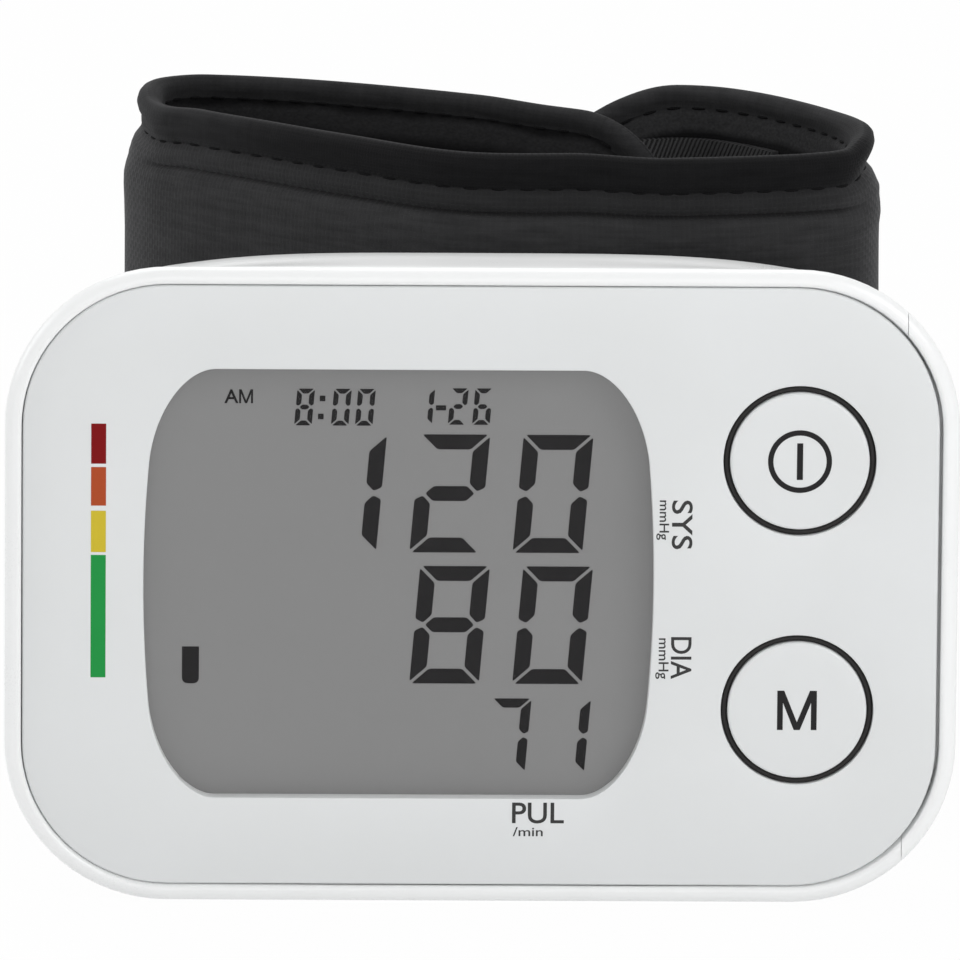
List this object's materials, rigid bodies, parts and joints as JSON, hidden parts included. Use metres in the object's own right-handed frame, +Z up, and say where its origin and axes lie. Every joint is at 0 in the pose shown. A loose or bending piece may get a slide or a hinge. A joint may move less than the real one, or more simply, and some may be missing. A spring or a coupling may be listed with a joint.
{
  "type": "wrist blood pressure monitor",
  "caption": "Wrist blood pressure monitor: white case with display and press buttons, standing on its edge with its padded wrap-round cuff closed behind it.",
  "frame": {"origin": "on the surface it stands on, under the middle of the whole object", "axes": "+Z up along the cuff opening, -Y out of the display, +X to the side of the buttons"},
  "size_m": [0.088, 0.0626, 0.066],
  "materials": {
    "case_plastic": "satin moulded white",
    "face_panel": "fine silver-white",
    "display_lens": "clear",
    "display_cell": "grey liquid crystal",
    "seal_rubber": "matt",
    "board": "solder mask",
    "black_plastic": "matt",
    "grey_plastic": "matt",
    "bright_metal": "plated",
    "air_rubber": "translucent silicone",
    "cell_wrap": "printed sleeve",
    "cuff_fabric": "woven nylon",
    "fastener_tape": "hook and loop"
  },
  "bodies": {
    "monitor": {"front_shell": "case_plastic", "rear_shell": "case_plastic", "face_plate": "face_panel", "display_window": "display_lens", "display_glass": "display_cell", "display_frame": "black_plastic", "contact_strip_lower": "air_rubber", "contact_strip_upper": "air_rubber", "main_board": "board", "power_button_seal": "seal_rubber", "power_switch": "black_plastic", "memory_button_seal": "seal_rubber", "memory_switch": "black_plastic", "controller_chip": "black_plastic", "buzzer": "black_plastic", "pump_motor": "bright_metal", "pump_head": "grey_plastic", "exhaust_valve": "grey_plastic", "pressure_sensor": "black_plastic", "air_manifold": "air_rubber", "cuff_tube": "air_rubber", "cuff_connector": "grey_plastic", "battery_tray": "grey_plastic", "battery_left": "cell_wrap", "battery_right": "cell_wrap", "contact_bridge": "bright_metal", "contact_negative": "bright_metal", "contact_positive": "bright_metal", "case_screw_1": "bright_metal", "case_screw_2": "bright_metal", "case_screw_3": "bright_metal", "case_screw_4": "bright_metal", "cuff_front_panel": "cuff_fabric", "cuff_bladder": "air_rubber", "cuff_stiffener": "grey_plastic", "stud_clip_1": "bright_metal", "stud_clip_2": "bright_metal"},
    "power_button": {"power_button": "face_panel"},
    "memory_button": {"memory_button": "face_panel"},
    "battery_door": {"battery_door": "case_plastic"},
    "inner_wing": {"cuff_inner_wing": "cuff_fabric", "loop_pad": "fastener_tape"},
    "outer_flap": {"cuff_outer_flap": "cuff_fabric", "hook_pad": "fastener_tape"}
  },
  "joints": [
    {"name": "power_button_press", "type": "slide", "parent": "monitor", "child": "power_button", "axis": [0, 1, 0], "range_m": [0, 0.0006], "stiffness_N_per_m": 800, "springref_m": -0.0004},
    {"name": "memory_button_press", "type": "slide", "parent": "monitor", "child": "memory_button", "axis": [0, 1, 0], "range_m": [0, 0.0006], "stiffness_N_per_m": 800, "springref_m": -0.0004},
    {"name": "battery_door_slide", "type": "slide", "parent": "monitor", "child": "battery_door", "axis": [1, 0, 0], "range_m": [0, 0.014]},
    {"name": "flap_hinge", "type": "hinge", "parent": "monitor", "child": "outer_flap", "pos_m": [0.0363, 0.00296, 0.033], "axis": [0, 0, -1], "range_deg": [0, 80]},
    {"name": "wing_hinge", "type": "hinge", "parent": "monitor", "child": "inner_wing", "pos_m": [-0.0317, 0.02046, 0.033], "axis": [0, 0, 1], "range_deg": [0, 44]}
  ],
  "couplings": [
    {"joint": "wing_hinge", "follows": "flap_hinge", "ratio": 0.55}
  ]
}
